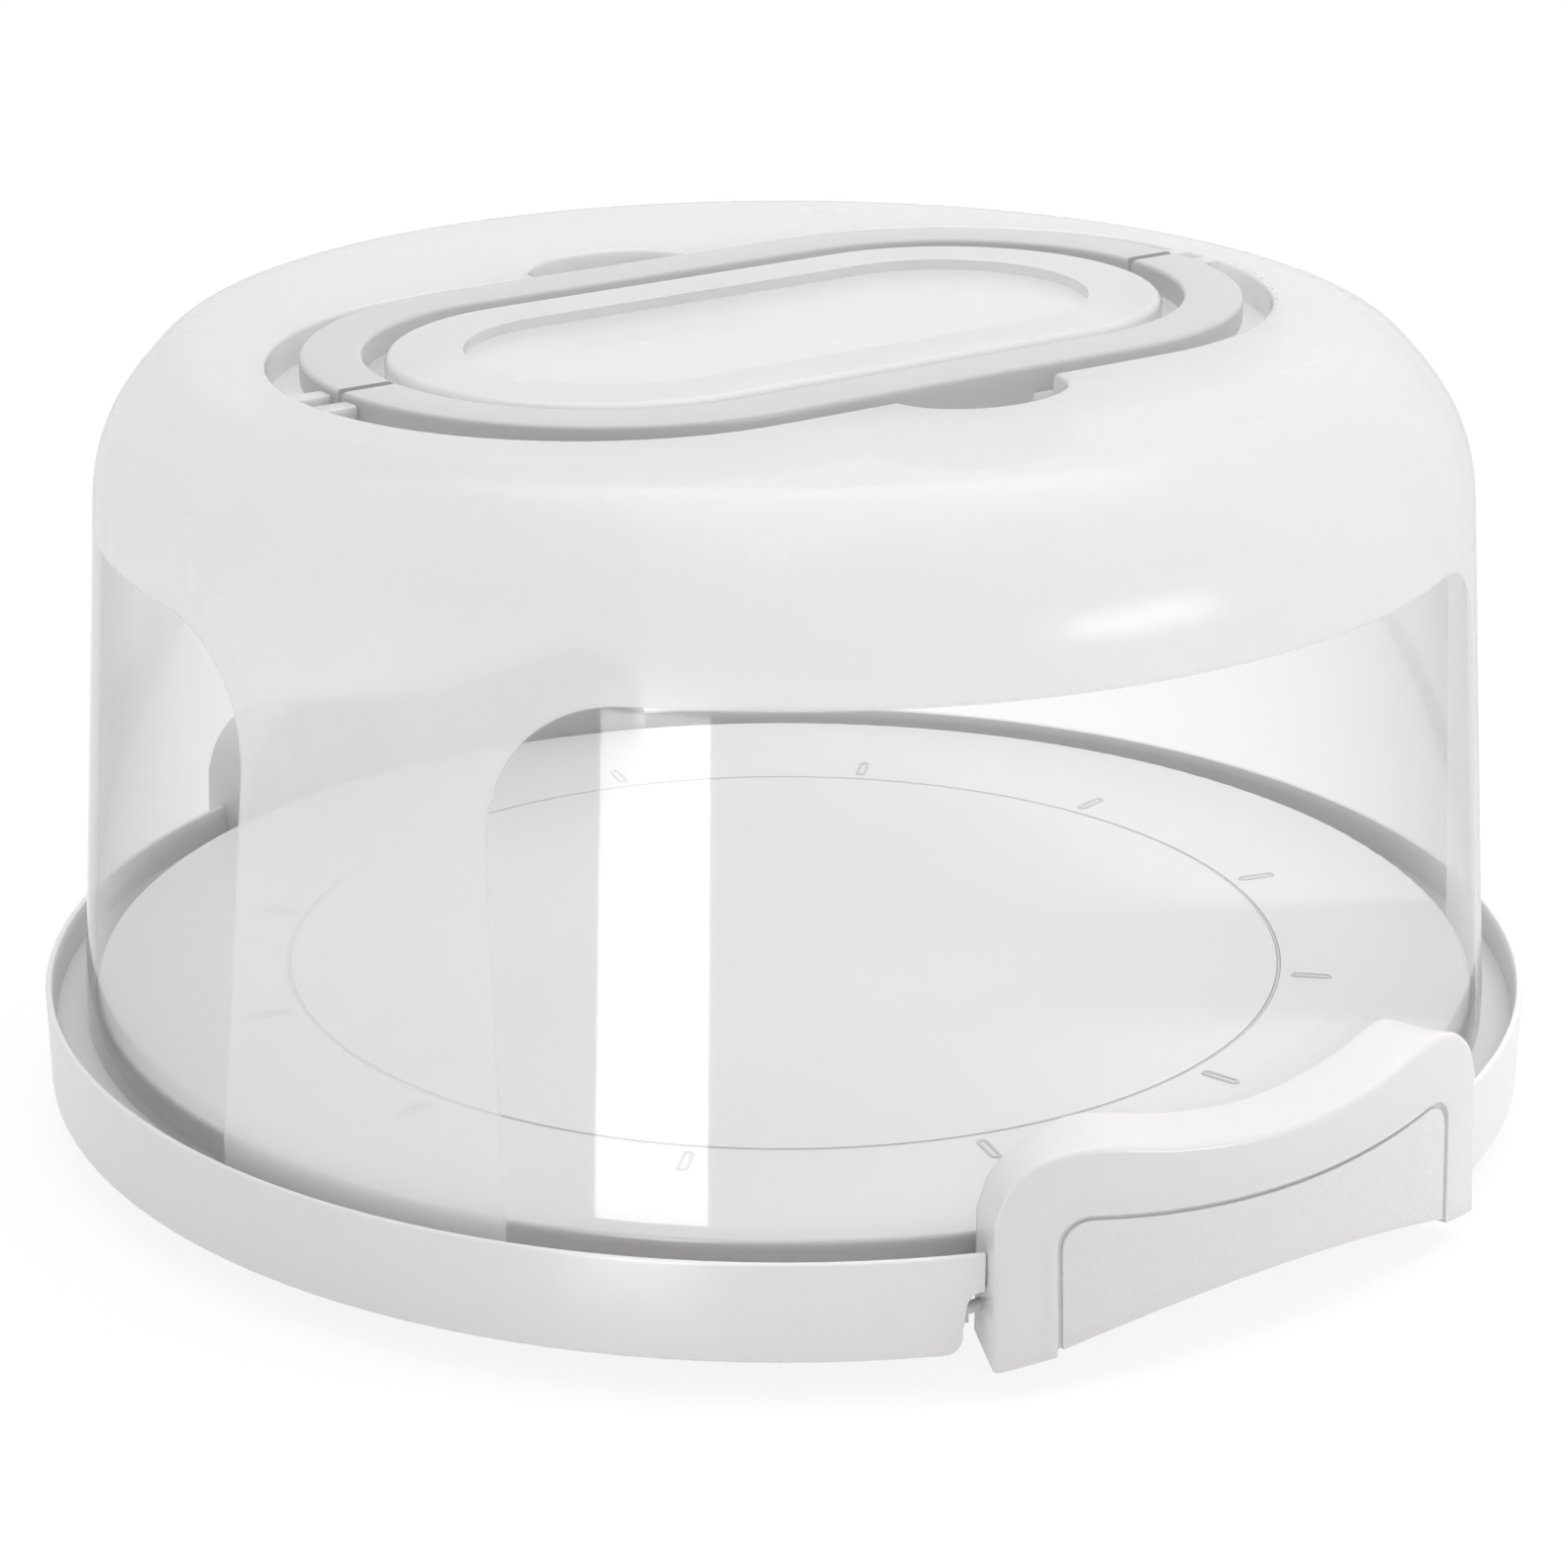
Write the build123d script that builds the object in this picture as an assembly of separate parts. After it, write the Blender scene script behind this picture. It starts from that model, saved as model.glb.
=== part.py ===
from build123d import *
import math
import os

# Round cake carrier: tray, lift-off cover, twin bail handle, two hinged latches.
# Millimetres, +Z up. Origin: centre of the foot ring, on the table.
# X runs along the handle's long axis. The latches stand at -Y and +Y.

# ---- fits ----
CLEAR = 0.3          # free gap between pieces that move apart
RUN = 0.05           # radial running clearance of a pin in its bore
EPS = 0.01           # overlap that joins two solids

# ---- driving size ----
WALL_R = 149.05      # outside of the cover's wall at the lip

# ---- cover's wall ----
COVER_T = 2.0
DRAFT = 0.0675       # wall leans in per mm of height

# ---- tray ----
TRAY_R = WALL_R + 8.45
FOOT_H = 7.0         # rim's lower edge above the table
RIM_H = 20.5         # rim's lower edge to its lip
LIP_Z = FOOT_H + RIM_H
RIM_T = 2.2
LIP_T = 1.3
DECK_DROP = 0.6      # cake deck below the lip
DECK_Z = LIP_Z - DECK_DROP
DECK_T = 2.4
DECK_R = WALL_R - COVER_T - 0.45
CHANNEL_D = 7.0      # cover channel below the lip
CHANNEL_Z = LIP_Z - CHANNEL_D
CHANNEL_T = 2.2
FOOT_IN = 30.6       # foot ring in from the deck's edge
FOOT_R = DECK_R - FOOT_IN
FOOT_T = 3.6
HUB_R = 40.0         # inner stiffening ring under the deck
RIB_T = 1.8
RIB_COUNT = 16
RIB_DROP = 5.0       # ribs below the deck's underside
LINE_IN = 40.3       # engraved guide circle in from the deck's edge
LINE_R = DECK_R - LINE_IN
LINE_W = 0.9
LINE_D = 0.5
MARK_R = LINE_R + 7.0    # middle of a slice mark
MARK_L = 8.6
MARK_W = 2.2
MARK_LINE = 0.5
MARK_H = 0.3         # raised slice marks
MARK_COUNT = 12

# ---- cover's dome ----
DOME_H = 136.4       # flat top above the lip
DOME_Z = LIP_Z + DOME_H
DOME_R = WALL_R - 32.05  # flat top's edge
WALL_DROP = 31.4     # straight wall's top below the dome's top
WALL_TOP = DOME_Z - WALL_DROP
SHOULDER_IN = 11.85  # shoulder's outer point, in from the wall and down from the top
SHOULDER_DROP = 14.9
BROW_IN = 19.55      # shoulder's upper point
BROW_DROP = 5.1
COVER_Z = CHANNEL_Z + CLEAR

# ---- handle ----
BAIL_L = 104.5       # half length over both halves
BAIL_W = 61.0        # half width over both halves
BAIL_BAND = 12.5
BAIL_Z = DOME_Z + 1.2
BAIL_T = 6.0
BAIL_ROUND = 1.0     # long upper edges
GRIP_T = 9.0
GRIP_HALF = 16.5
PARTING = 0.5        # half of the gap between the halves' ends
PIVOT_Y = 5.0        # pivot from the parting line
PIVOT_D = 3.0        # pivot below the handle's top
PIVOT_Z = BAIL_Z - PIVOT_D
BAIL_PIN_R = 1.1
BAIL_PIN_IN = 5.5    # pin held in the handle
TAIL_R = 4.8         # swing of the handle's tail, short of the parting line

# ---- handle recess in the cover ----
WELL_END = 7.0       # beyond the handle's ends
WELL_SIDE = 3.5      # beyond the handle's sides
WELL_D = 7.0
WELL_L = BAIL_L + WELL_END
WELL_W = BAIL_W + WELL_SIDE
WELL_Z = DOME_Z - WELL_D
WELL_ROUND = 1.2
NOTCH_HALF = 19.0    # finger notch, half width
NOTCH_OUT = 14.0     # finger notch beyond the recess
NOTCH_Z = WELL_Z - 2.6
ISLE_GAP = 4.3
ISLE_L = BAIL_L - BAIL_BAND - ISLE_GAP
ISLE_W = BAIL_W - BAIL_BAND - ISLE_GAP
ISLE_Z = BAIL_Z - 0.3
ISLE_ROUND = 2.2
DISH_IN = 16.0       # shallow dish inside the island's edge
DISH_D = 2.2
LUG_W = 4.4
LUG_X = BAIL_L + 0.4
LUG_Z = DOME_Z - 0.1
LUG_ROUND = 0.5
LUG_PIN = 5.0        # pin's reach into the lug

# ---- latches ----
LATCH_Z = FOOT_H - 1.4
FACE_R = WALL_R + 13.7   # curved face, about the tray's axis, at its foot
FACE_DRAFT = 0.04    # face leans in per mm of height
FACE_ANGLE = 21.75   # degrees from the middle to a cheek
FACE_SLOPE = math.tan(math.radians(FACE_ANGLE))
FACE_T = 3.2
WALL_T = 2.4
BACK_IN = 12.5       # cheeks reach this far inside the wall's radius
CHEEK_RISE = 2.6     # cheek's rear corner above its front one
HINGE_IN = 7.0       # hinge inside the wall's radius
HINGE_Y = WALL_R - HINGE_IN
HINGE_Z = FOOT_H + 8.3
LATCH_PIN_R = 1.2
LATCH_BOSS_R = 2.5   # slim, so that the boss stays outside the cover's wall
BOSS_IN = 1.2        # boss beyond the cheek's inner face
SADDLE_R = WALL_R + CLEAR
CROWN_PULL = 0.3     # how far the crown's upright ends carry on
PANEL_IN = 17.3      # panel's side in from the face's corner
PANEL_HALF = FACE_R * FACE_SLOPE - PANEL_IN
PANEL_T = 1.6
PANEL_SINK = 0.2     # panel below the latch's face
PANEL_GAP = 1.1
PANEL_SHOULDER = PANEL_HALF - 5.6    # end of the panel's dipped top
PANEL_TOP = 3.0      # panel's top above the lip, in the middle
PANEL_DIP = 2.9
PANEL_ROUND = 5.1    # height of the panel's upper corners
FOOT_RISE = 1.8      # latch's lower edge at the panel above its outer corner
ARCH_END = 3.0       # panel's lower corners above the latch's lower edge
ARCH_MID = 9.8       # panel's arch at its middle

# Along the latch: degrees from the middle, then heights above the lip of the
# front edge and of the rear edge on the wall.
SADDLE = (
    (0.0, 15.2, 16.9),
    (8.0, 16.8, 18.9),
    (14.5, 19.9, 21.8),
    (18.3, 19.0, 18.2),
    (20.7, 14.3, 12.9),
    (21.75, 8.0, 5.5),
)

# ---- tray's hinge ears ----
EAR_END = 0.5        # ear's end to the latch's cheek
EAR_DROP = 7.6       # ear's lower edge below the lip
EAR_STEP = 2.0       # hinge seat stands further off
EAR_RUN = 7.0        # thick seat around the hinge pin
EAR_SPAN = 26.0      # seat's length along the rim
EAR_ROUND = 2.6      # ear's lower corner
RIM_END_OUT = 5.1    # rim's end below the ear, beyond the cheek at the hinge
RIM_END_X = HINGE_Y * FACE_SLOPE + RIM_END_OUT
RIM_END_R = 4.0      # rim end's lower corner
RIM_SKIN_R = TRAY_R - 4.0    # inside of the rim wall's zone
PIN_OUT = 5.9        # hinge pin's outer end, beyond the cheek
PIN_END_X = HINGE_Y * FACE_SLOPE + PIN_OUT
PIN_IN_X = PIN_END_X - 12.5
BAY_IN = 29.0        # bays start this far inside the wall's radius
FORM_REAR = WALL_R - BAY_IN  # rear plane of the latch's form


def wall_r(z):
    """Outside radius of the cover's wall at a height."""
    return WALL_R - DRAFT * max(0.0, z - LIP_Z)


def track(half_l, half_w):
    """Racetrack outline from its half length and half width."""
    return SlotOverall(2 * half_l, 2 * half_w)


def slab(outline, low, high):
    """Outline raised from one height to another."""
    return Pos(0, 0, low) * extrude(outline, high - low, dir=(0, 0, 1))


def mirrored(shape):
    """Copy of a piece on the other side of the XZ plane."""
    return mirror(shape, Plane.XZ)


def along_x(radius, x0, x1, y, z):
    """Round bar along X between two stations."""
    bar = Cylinder(radius, abs(x1 - x0), rotation=(0, 90, 0))
    return Pos((x0 + x1) / 2, y, z) * bar


# ---------------- tray ----------------
def cheek_x(y):
    """Half width of the latch at a distance from the middle: its cheeks are radial."""
    return y * FACE_SLOPE


def latch_bay(gap, low, high):
    """Space a latch needs in the rim, wider than its cheeks by a gap."""
    near = WALL_R - BAY_IN
    far = FACE_R + 10
    bay = Polygon(
        (-cheek_x(near) - gap, -near),
        (cheek_x(near) + gap, -near),
        (cheek_x(far) + gap, -far),
        (-cheek_x(far) - gap, -far),
        align=None,
    )
    return slab(bay, low, high)


def rim_end_outline():
    """Opening in the rim wall below the ears, seen from the front."""
    ear_z = LIP_Z - EAR_DROP
    low = FOOT_H - 1
    foot_x = RIM_END_X + 0.6
    knee = (foot_x, FOOT_H + RIM_END_R + 1)
    toe = (foot_x + RIM_END_R - 0.6, FOOT_H - 0.01)
    arc_r = ThreePointArc(toe, (foot_x + 0.9, FOOT_H + RIM_END_R * 0.36), knee)
    rise_r = Line(knee, (RIM_END_X, ear_z - EAR_ROUND))
    ear_in = RIM_END_X - EAR_ROUND
    ear_mid = (RIM_END_X - EAR_ROUND * 0.3, ear_z - EAR_ROUND * 0.38)
    ear_r = ThreePointArc((RIM_END_X, ear_z - EAR_ROUND), ear_mid, (ear_in, ear_z))
    skirt = Line(toe, (toe[0], low))
    half = Wire([skirt, arc_r, rise_r, ear_r])
    other = mirror(half, Plane.YZ)
    top = Line((RIM_END_X - EAR_ROUND, ear_z), (EAR_ROUND - RIM_END_X, ear_z))
    base = Line((toe[0], low), (-toe[0], low))
    return Wire([*half.edges(), top, *other.edges(), base])


def tray_section():
    """Half section of the tray about its axis."""
    deck_low = DECK_Z - DECK_T
    chan_low = CHANNEL_Z - CHANNEL_T
    riser_r = DECK_R - DECK_T
    rim_in = TRAY_R - RIM_T
    return Polyline(
        (0, deck_low),
        (riser_r, deck_low),
        (riser_r, chan_low),
        (rim_in, chan_low),
        (rim_in, FOOT_H),
        (TRAY_R - 0.4, FOOT_H),
        (TRAY_R, LIP_Z),
        (TRAY_R - LIP_T, LIP_Z),
        (rim_in, CHANNEL_Z),
        (DECK_R, CHANNEL_Z),
        (DECK_R, DECK_Z),
        (0, DECK_Z),
        close=True,
    )


def round_corner(face, r, z, radius):
    """Section with the corner at (r, z) rounded."""
    spot = face.vertices().filter_by(lambda v: abs(v.X - r) < 0.01 and abs(v.Z - z) < 0.01)
    return fillet(spot, radius)


def make_tray():
    face = make_face(Plane.XZ * tray_section())
    face = round_corner(face, TRAY_R - 0.4, FOOT_H, 1.2)
    face = round_corner(face, TRAY_R, LIP_Z, 0.5)
    face = round_corner(face, TRAY_R - LIP_T, LIP_Z, 0.5)
    face = round_corner(face, DECK_R, DECK_Z, 0.9)
    body = revolve(face, Axis.Z)

    deck_low = DECK_Z - DECK_T
    foot = slab(Circle(FOOT_R) - Circle(FOOT_R - FOOT_T), 0, deck_low + EPS)
    foot_edges = foot.edges().filter_by(lambda e: abs(e.center().Z) < 0.01)
    body += fillet(foot_edges, 0.8)
    body += slab(Circle(HUB_R) - Circle(HUB_R - RIB_T), deck_low - RIB_DROP, deck_low + EPS)
    rib_in = HUB_R - RIB_T / 2
    rib_out = DECK_R - DECK_T / 2
    rib = Pos((rib_in + rib_out) / 2, 0) * Rectangle(rib_out - rib_in, RIB_T)
    ribs = Sketch() + PolarLocations(0, RIB_COUNT, 180 / RIB_COUNT) * rib
    body += slab(ribs, deck_low - RIB_DROP, deck_low + EPS)

    # Ear seats: the rim is solid around each hinge pin.
    seat_in = cheek_x(HINGE_Y)
    seat_out = PIN_END_X + EAR_RUN / 2
    seat = Pos((seat_in + seat_out) / 2, -HINGE_Y) * Rectangle(seat_out - seat_in, EAR_SPAN)
    ring = Circle(TRAY_R - RIM_T / 2) - Circle(SADDLE_R + 0.3)
    seat_low = HINGE_Z - LATCH_PIN_R - 2.2
    seat = slab(seat & ring, seat_low, CHANNEL_Z - CHANNEL_T + EPS)
    seats = seat + mirror(seat, Plane.YZ)
    body += seats + mirrored(seats)

    # Bays that the latches stand and swing in.
    chan_low = CHANNEL_Z - CHANNEL_T
    upper = latch_bay(EAR_END, chan_low - EPS, LIP_Z + 1)
    upper -= slab(Circle(SADDLE_R - CLEAR), 0, LIP_Z + 2)
    lower = latch_bay(EAR_END + EAR_STEP, -1, chan_low)
    lower -= slab(Circle(DECK_R - DECK_T - 0.5), -2, LIP_Z + 2)
    rim_end = face_prism(rim_end_outline(), TRAY_R + 2, HINGE_Y - 4)
    rim_end -= slab(Circle(RIM_SKIN_R), -1, LIP_Z + 2)
    bay = upper + lower + rim_end
    body -= bay + mirrored(bay)

    # Guide circle and slice marks in the deck.
    line = Circle(LINE_R + LINE_W / 2) - Circle(LINE_R - LINE_W / 2)
    body -= slab(line, DECK_Z - LINE_D, DECK_Z + 1)
    mark = SlotOverall(MARK_L, MARK_W) - SlotOverall(MARK_L - 2 * MARK_LINE, MARK_W - 2 * MARK_LINE)
    marks = Sketch() + PolarLocations(MARK_R, MARK_COUNT, 180 / MARK_COUNT) * mark
    body += slab(marks, DECK_Z - EPS, DECK_Z + MARK_H)

    for sx in (-1, 1):
        for sy in (-1, 1):
            body -= along_x(LATCH_PIN_R + RUN, sx * PIN_IN_X, sx * (PIN_END_X + 0.5), sy * HINGE_Y, HINGE_Z)
    return body


# ---------------- cover ----------------
def cover_profile(inset):
    """Solid of revolution inside the cover's outer skin, drawn in by an inset."""
    top = DOME_Z - inset
    low = COVER_Z - (1 if inset else 0)
    foot = (WALL_R - inset, low)
    knee = (wall_r(LIP_Z) - inset, LIP_Z)
    start = (wall_r(WALL_TOP) - inset, WALL_TOP - inset / 3)
    shoulder = Spline(
        start,
        (WALL_R - SHOULDER_IN - inset * 0.93, DOME_Z - SHOULDER_DROP - inset * 0.37),
        (WALL_R - BROW_IN - inset * 0.62, DOME_Z - BROW_DROP - inset * 0.78),
        (DOME_R, top),
        tangents=((-DRAFT, 1), (-1, 0)),
    )
    wall = Polyline((0, low), foot, knee, start)
    lid = Line((DOME_R, top), (0, top))
    axis = Line((0, top), (0, low))
    face = make_face(Plane.XZ * Wire([*wall.edges(), shoulder, lid, axis]))
    return revolve(face, Axis.Z)


def notch_outline(grow):
    """Finger notches across the middle of both long sides."""
    half = NOTCH_HALF + grow
    bulge = Ellipse(half, NOTCH_OUT + grow)
    inner = ISLE_W - grow
    span = WELL_W - inner
    path = Rectangle(2 * half, span)
    beyond = Pos(0, WELL_W + NOTCH_OUT) * Rectangle(4 * half, 2 * NOTCH_OUT)
    one = (Pos(0, WELL_W) * bulge) & beyond
    one = one + Pos(0, WELL_W - span / 2) * path
    return one + mirror(one, Plane.XZ)


def make_cover():
    outer = cover_profile(0)
    well = slab(track(WELL_L, WELL_W), WELL_Z, DOME_Z + 5)
    notch = slab(notch_outline(0), NOTCH_Z, DOME_Z + 5)
    body = outer - (well + notch)
    top_edges = body.edges().filter_by(lambda e: abs(e.center().Z - DOME_Z) < EPS)
    rim = top_edges.filter_by(lambda e: e.bounding_box().size.X < 2 * DOME_R - 1 and e.length > 1)
    body = fillet(rim, WELL_ROUND)

    isle = slab(track(ISLE_L, ISLE_W), NOTCH_Z - EPS, ISLE_Z)
    isle = fillet(isle.edges().group_by(Axis.Z)[-1], ISLE_ROUND)
    dish = track(ISLE_L - DISH_IN, ISLE_W - DISH_IN + 2)
    isle -= slab(dish, ISLE_Z - DISH_D, ISLE_Z + 2)
    body += isle

    hollow = cover_profile(COVER_T)
    hollow -= slab(track(WELL_L + COVER_T, WELL_W + COVER_T), WELL_Z - COVER_T, DOME_Z)
    hollow -= slab(notch_outline(COVER_T), NOTCH_Z - COVER_T, DOME_Z)
    under_isle = track(ISLE_L - COVER_T, ISLE_W - COVER_T)
    hollow += slab(under_isle, NOTCH_Z - COVER_T - 1, ISLE_Z - DISH_D - COVER_T)
    body -= hollow

    # Lugs that carry the handle's pins at both ends of the recess.
    reach = WELL_L + COVER_T / 2 - LUG_X
    lug = Pos(LUG_X + reach / 2, PIVOT_Y) * Rectangle(reach, LUG_W)
    block = slab(lug, WELL_Z - EPS, LUG_Z)
    block = fillet(block.edges().filter_by(Axis.X).group_by(Axis.Z)[-1], LUG_ROUND)
    pin = along_x(BAIL_PIN_R + RUN, LUG_X - 1, LUG_X + LUG_PIN + 0.3, PIVOT_Y, PIVOT_Z)
    for flip in (False, True):
        for side in (False, True):
            part = mirror(block, Plane.YZ) if flip else block
            hole = mirror(pin, Plane.YZ) if flip else pin
            body += mirrored(part) if side else part
            body -= mirrored(hole) if side else hole
    return body


# ---------------- handle ----------------
def make_bail():
    """Front half of the handle, with its tails rounded to swing."""
    band = track(BAIL_L, BAIL_W) - track(BAIL_L - BAIL_BAND, BAIL_W - BAIL_BAND)
    front = Pos(0, -PARTING - BAIL_L) * Rectangle(4 * BAIL_L, 2 * BAIL_L)
    bail = slab(band & front, BAIL_Z - BAIL_T, BAIL_Z)
    mid = Pos(0, -BAIL_W) * Rectangle(2 * GRIP_HALF, BAIL_W)
    grip = slab(band & mid, BAIL_Z - GRIP_T, BAIL_Z - BAIL_T + EPS)
    bail += grip
    long_edges = bail.edges().group_by(Axis.Z)[-1].filter_by(lambda e: e.length > BAIL_BAND + 1)
    bail = fillet(long_edges, BAIL_ROUND)

    # Tails: only what swings inside the tail radius stays beyond the pivot.
    beyond = Pos(0, -PIVOT_Y + BAIL_BAND, PIVOT_Z) * Box(4 * BAIL_L, 2 * BAIL_BAND, 4 * BAIL_T)
    swing = along_x(TAIL_R, -2 * BAIL_L, 2 * BAIL_L, -PIVOT_Y, PIVOT_Z)
    bail = (bail - beyond) + (bail & beyond & swing)
    for sx in (-1, 1):
        bail -= along_x(BAIL_PIN_R, sx * (LUG_X - BAIL_PIN_IN - 0.4), sx * (LUG_X + 3), -PIVOT_Y, PIVOT_Z)
    return bail


def make_bail_pins(side):
    """Pins of one half of the handle, at the front (-1) or the rear (1)."""
    inner = LUG_X - BAIL_PIN_IN - 0.4
    outer = LUG_X + LUG_PIN
    return Compound(children=[
        along_x(BAIL_PIN_R, sx * inner, sx * outer, side * PIVOT_Y, PIVOT_Z)
        for sx in (-1, 1)
    ])


# ---------------- latch ----------------
def face_r(z):
    """Outside radius of the latch's face at a height."""
    return FACE_R - FACE_DRAFT * (z - LATCH_Z)


def face_cone(inset):
    """Solid inside the latch's face, drawn in by an inset."""
    low = -5.0
    high = LIP_Z + 2 * RIM_H
    cone = Cone(
        face_r(low) - inset, face_r(high) - inset, high - low, align=(Align.CENTER, Align.CENTER, Align.MIN)
    )
    return Pos(0, 0, low) * cone


def saddle_line(y, drop):
    """Top edge of the latch in an upright plane, lowered by a wall."""
    front_r = face_r(LIP_Z + SADDLE[0][1])
    points = []
    for degrees, front, rear in SADDLE:
        angle = math.radians(degrees)
        slope = (rear - front) / (front_r - SADDLE_R)
        height = LIP_Z + front + slope * (front_r - y / math.cos(angle))
        height -= drop * math.sqrt(1 + slope ** 2)
        points.append((y * math.tan(angle), height))
    return points


def latch_outline(y, wall):
    """Outline of the latch in an upright plane, drawn in by a wall."""
    half = cheek_x(y) - wall / math.cos(math.radians(FACE_ANGLE))
    narrow = half / cheek_x(y)
    top = [(x * narrow, z) for x, z in saddle_line(y, wall)]
    low = LATCH_Z - 10 - wall
    points = [(-x, z) for x, z in reversed(top)] + top[1:]
    crown = Spline(*points, tangents=((0, 1), (0, -1)), tangent_scalars=(CROWN_PULL, CROWN_PULL))
    side_r = Line(top[-1], (half, low))
    floor = Line((half, low), (-half, low))
    side_l = Line((-half, low), (-half, top[-1][1]))
    return make_face(Plane.XZ.offset(y) * Wire([crown, side_r, floor, side_l]))


def latch_form(wall):
    """Latch's form between its face and the cover's wall, drawn in by a wall."""
    front = latch_outline(FACE_R + 5, wall)
    rear = latch_outline(FORM_REAR, wall)
    return loft([front, rear], ruled=True)


def below_latch():
    """Everything below the latch's lower edge, seen from the front."""
    step_x = PANEL_HALF + PANEL_GAP
    end_x = cheek_x(FACE_R)
    low = LATCH_Z - 20
    edge_z = LATCH_Z + FOOT_RISE * 2
    corner = (end_x, LATCH_Z - FOOT_RISE / 2)
    step = (step_x, LATCH_Z + FOOT_RISE)
    right = Polyline((end_x, low), corner, step, (step_x, edge_z))
    left = mirror(right, Plane.YZ)
    crown = ThreePointArc((-step_x, edge_z), (0, LATCH_Z + ARCH_MID + 0.2), (step_x, edge_z))
    base = Line((-end_x, low), (end_x, low))
    return Wire([*right.edges(), crown, *left.edges(), base])


def panel_outline(grow):
    """Panel in the latch's face: dipped top, round corners, arched foot."""
    half = PANEL_HALF + grow
    shoulder = PANEL_SHOULDER + grow / 2
    top_z = LIP_Z + PANEL_TOP + PANEL_DIP + grow
    side_z = top_z - PANEL_ROUND
    corner = (half - 1.4, top_z - 1.3)
    low = LATCH_Z + ARCH_END if not grow else LATCH_Z - 2
    crown = ThreePointArc((-shoulder, top_z), (0, top_z - PANEL_DIP), (shoulder, top_z))
    corner_r = ThreePointArc((shoulder, top_z), corner, (half, side_z))
    corner_l = ThreePointArc((-half, side_z), (-corner[0], corner[1]), (-shoulder, top_z))
    side_r = Line((half, side_z), (half, low))
    side_l = Line((-half, low), (-half, side_z))
    foot = Line((half, low), (-half, low))
    if not grow:
        foot = ThreePointArc((half, low), (0, LATCH_Z + ARCH_MID), (-half, low))
    return Wire([crown, corner_r, side_r, foot, side_l, corner_l])


def face_prism(outline, y_front, y_rear):
    """Outline on an upright plane, carried back through a thickness."""
    face = make_face(Plane.XZ.offset(y_front) * outline)
    return extrude(face, y_front - y_rear, dir=(0, 1, 0))


def make_latch():
    back_y = WALL_R - BACK_IN
    body = latch_form(0) & face_cone(0)
    past_rear = FORM_REAR - 2
    body -= face_prism(below_latch(), FACE_R + 6, past_rear)
    body -= latch_form(WALL_T) & face_cone(FACE_T)
    body -= slab(Circle(SADDLE_R), 0, LIP_Z + 3 * RIM_H)

    # Cheeks rise towards the rear at their lower edge.
    corner_y = FACE_R * math.cos(math.radians(FACE_ANGLE))
    wedge = Polygon(
        (-corner_y, LATCH_Z - 3),
        (-corner_y, LATCH_Z),
        (-back_y, LATCH_Z + CHEEK_RISE),
        (-past_rear, LATCH_Z + CHEEK_RISE),
        (-past_rear, LATCH_Z - 3),
        align=None,
    )
    body -= Pos(-FACE_R, 0, 0) * extrude(Plane.YZ * wedge, 2 * FACE_R, dir=(1, 0, 0))

    boss_in = cheek_x(HINGE_Y) - WALL_T - BOSS_IN
    boss_out = cheek_x(HINGE_Y - LATCH_BOSS_R)
    for sx in (-1, 1):
        body += along_x(LATCH_BOSS_R, sx * boss_in, sx * boss_out, -HINGE_Y, HINGE_Z)

    pocket = face_prism(panel_outline(PANEL_GAP), FACE_R + 1, back_y)
    body -= pocket - face_cone(PANEL_T + PANEL_SINK)
    for sx in (-1, 1):
        body -= along_x(LATCH_PIN_R, sx * (boss_in - 1), sx * (PIN_END_X + 10), -HINGE_Y, HINGE_Z)
    return body


def make_panel():
    panel = face_prism(panel_outline(0), FACE_R + 1, WALL_R - BACK_IN)
    return panel & face_cone(PANEL_SINK) - face_cone(PANEL_SINK + PANEL_T)


def make_latch_pins(side):
    """Hinge pins of one latch, at the front (-1) or the rear (1)."""
    inner = cheek_x(HINGE_Y) - WALL_T - BOSS_IN
    return Compound(children=[
        along_x(LATCH_PIN_R, sx * inner, sx * PIN_END_X, side * HINGE_Y, HINGE_Z)
        for sx in (-1, 1)
    ])


def main():
    os.makedirs("parts", exist_ok=True)
    bail = make_bail()
    latch = make_latch()
    panel = make_panel()
    nodes = {
        "tray": make_tray(),
        "cover": make_cover(),
        "handle_front": bail,
        "handle_rear": mirrored(bail),
        "handle_pins_front": make_bail_pins(-1),
        "handle_pins_rear": make_bail_pins(1),
        "latch_front": latch,
        "latch_rear": mirrored(latch),
        "latch_panel_front": panel,
        "latch_panel_rear": mirrored(panel),
        "latch_pins_front": make_latch_pins(-1),
        "latch_pins_rear": make_latch_pins(1),
    }
    for name, shape in nodes.items():
        export_step(shape, f"parts/{name}.step")
        box = shape.bounding_box()
        print(name, round(shape.volume / 1000, 2), "cm3", len(shape.solids()), "solid", box.min, box.max)


if __name__ == "__main__":
    main()
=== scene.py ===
"""Round cake carrier with a frosted cover, two side latches and a folding handle."""
import math

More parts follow.
